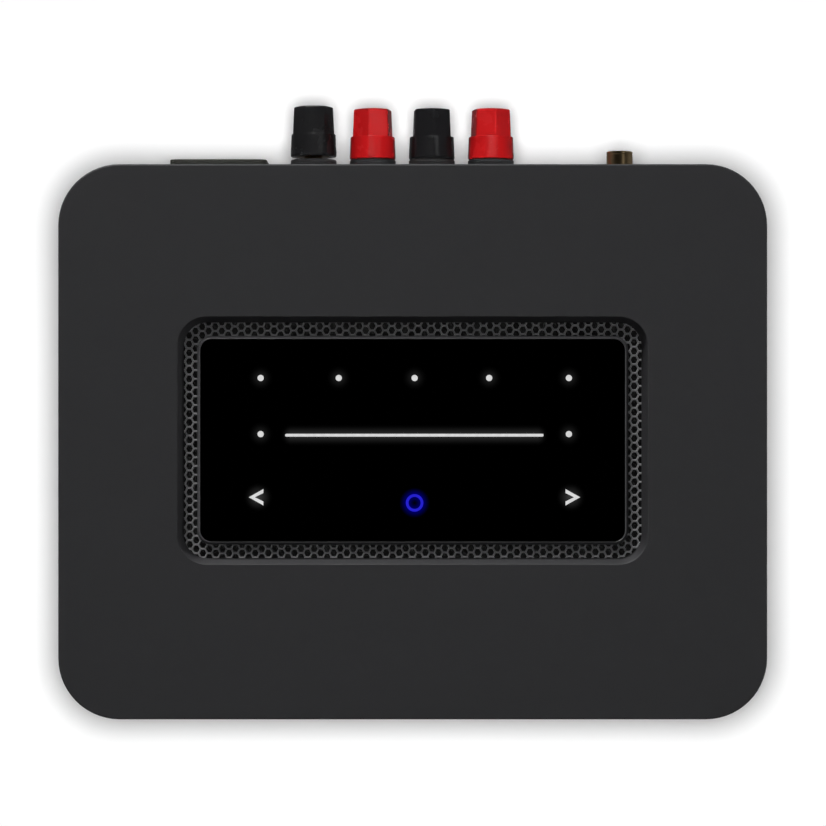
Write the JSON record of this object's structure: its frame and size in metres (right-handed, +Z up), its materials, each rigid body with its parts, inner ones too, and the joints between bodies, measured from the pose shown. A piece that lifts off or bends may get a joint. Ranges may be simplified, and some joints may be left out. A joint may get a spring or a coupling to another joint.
{
  "type": "streaming amplifier receiver",
  "caption": "Low rounded wireless audio receiver with a recessed glass touch panel in a hexagon-mesh border and screw-down loudspeaker posts at the rear.",
  "frame": {"origin": "on the table under the middle of the footprint, binding posts included", "axes": "+X to the right, seen from the front; +Y to the rear, where the posts are; +Z up"},
  "size_m": [0.22, 0.194, 0.07],
  "materials": {
    "shell_plastic": "satin",
    "base_steel": "matte",
    "panel_plastic": "matte",
    "ir_lens": "gloss",
    "grille_metal": "satin",
    "bezel_plastic": "satin",
    "touch_glass": "gloss",
    "light_guide": "satin",
    "circuit_board": "satin",
    "ribbon_film": "satin",
    "tinned_steel": "satin",
    "heatsink_aluminium": "satin",
    "transformer_core": "matte",
    "capacitor_sleeve": "gloss",
    "choke_winding": "gloss",
    "inlet_plastic": "satin",
    "gold_plate": "polished",
    "socket_plastic": "satin",
    "screw_steel": "satin",
    "foot_rubber": "matte",
    "collar_plastic": "satin",
    "knob_black": "gloss",
    "knob_red": "gloss"
  },
  "bodies": {
    "case": {"top_shell": "shell_plastic", "base_plate": "base_steel", "rear_panel": "panel_plastic", "ir_window": "ir_lens", "vent_grille": "grille_metal", "touch_bezel": "bezel_plastic", "touch_glass": "touch_glass", "light_guide": "light_guide", "touch_board": "circuit_board", "touch_ribbon_cable": "ribbon_film", "main_board": "circuit_board", "io_board": "circuit_board", "wireless_module": "tinned_steel", "antenna_left": "circuit_board", "antenna_right": "circuit_board", "amplifier_board": "circuit_board", "heatsink": "heatsink_aluminium", "power_board": "circuit_board", "transformer": "transformer_core", "bulk_capacitor_left": "capacitor_sleeve", "bulk_capacitor_right": "capacitor_sleeve", "filter_choke": "choke_winding", "terminal_board": "circuit_board", "mains_inlet_body": "inlet_plastic", "mains_line_pin": "tinned_steel", "mains_earth_pin": "tinned_steel", "mains_neutral_pin": "tinned_steel", "rca_barrel": "gold_plate", "rca_insulator": "socket_plastic", "ethernet_jack": "tinned_steel", "usb_socket": "tinned_steel", "hdmi_socket": "tinned_steel", "ir_input_jack": "socket_plastic", "optical_input_jack": "socket_plastic", "rear_panel_screw_left": "screw_steel", "rear_panel_screw_right": "screw_steel", "foot_front_left": "foot_rubber", "base_screw_front_left": "screw_steel", "foot_front_right": "foot_rubber", "base_screw_front_right": "screw_steel", "foot_rear_left": "foot_rubber", "base_screw_rear_left": "screw_steel", "foot_rear_right": "foot_rubber", "base_screw_rear_right": "screw_steel", "post_collar_left_negative": "collar_plastic", "post_stem_left_negative": "gold_plate", "post_collar_left_positive": "collar_plastic", "post_stem_left_positive": "gold_plate", "post_collar_right_negative": "collar_plastic", "post_stem_right_negative": "gold_plate", "post_collar_right_positive": "collar_plastic", "post_stem_right_positive": "gold_plate"},
    "post_washer_left_negative": {"post_washer_left_negative": "gold_plate"},
    "post_knob_left_negative": {"post_knob_left_negative": "knob_black"},
    "post_washer_left_positive": {"post_washer_left_positive": "gold_plate"},
    "post_knob_left_positive": {"post_knob_left_positive": "knob_red"},
    "post_washer_right_negative": {"post_washer_right_negative": "gold_plate"},
    "post_knob_right_negative": {"post_knob_right_negative": "knob_black"},
    "post_washer_right_positive": {"post_washer_right_positive": "gold_plate"},
    "post_knob_right_positive": {"post_knob_right_positive": "knob_red"}
  },
  "joints": [
    {"name": "post_lift_left_negative", "type": "slide", "parent": "case", "child": "post_washer_left_negative", "axis": [0, 1, 0], "range_m": [-0.00085, 0.00515]},
    {"name": "post_turn_left_negative", "type": "hinge", "parent": "post_washer_left_negative", "child": "post_knob_left_negative", "pos_m": [-0.03195, 0.0818, 0.035], "axis": [0, 1, 0], "range_deg": [-408, 2472]},
    {"name": "post_lift_left_positive", "type": "slide", "parent": "case", "child": "post_washer_left_positive", "axis": [0, 1, 0], "range_m": [0, 0.006]},
    {"name": "post_turn_left_positive", "type": "hinge", "parent": "post_washer_left_positive", "child": "post_knob_left_positive", "pos_m": [-0.0129, 0.0818, 0.035], "axis": [0, 1, 0], "range_deg": [0, 2880]},
    {"name": "post_lift_right_negative", "type": "slide", "parent": "case", "child": "post_washer_right_negative", "axis": [0, 1, 0], "range_m": [0, 0.006]},
    {"name": "post_turn_right_negative", "type": "hinge", "parent": "post_washer_right_negative", "child": "post_knob_right_negative", "pos_m": [0.00615, 0.0818, 0.035], "axis": [0, 1, 0], "range_deg": [0, 2880]},
    {"name": "post_lift_right_positive", "type": "slide", "parent": "case", "child": "post_washer_right_positive", "axis": [0, 1, 0], "range_m": [0, 0.006]},
    {"name": "post_turn_right_positive", "type": "hinge", "parent": "post_washer_right_positive", "child": "post_knob_right_positive", "pos_m": [0.0252, 0.0818, 0.035], "axis": [0, 1, 0], "range_deg": [0, 2880]}
  ],
  "couplings": [
    {"joint": "post_turn_left_negative", "follows": "post_lift_left_negative", "rad_per_m": 8377.6},
    {"joint": "post_turn_left_positive", "follows": "post_lift_left_positive", "rad_per_m": 8377.6},
    {"joint": "post_turn_right_negative", "follows": "post_lift_right_negative", "rad_per_m": 8377.6},
    {"joint": "post_turn_right_positive", "follows": "post_lift_right_positive", "rad_per_m": 8377.6}
  ]
}
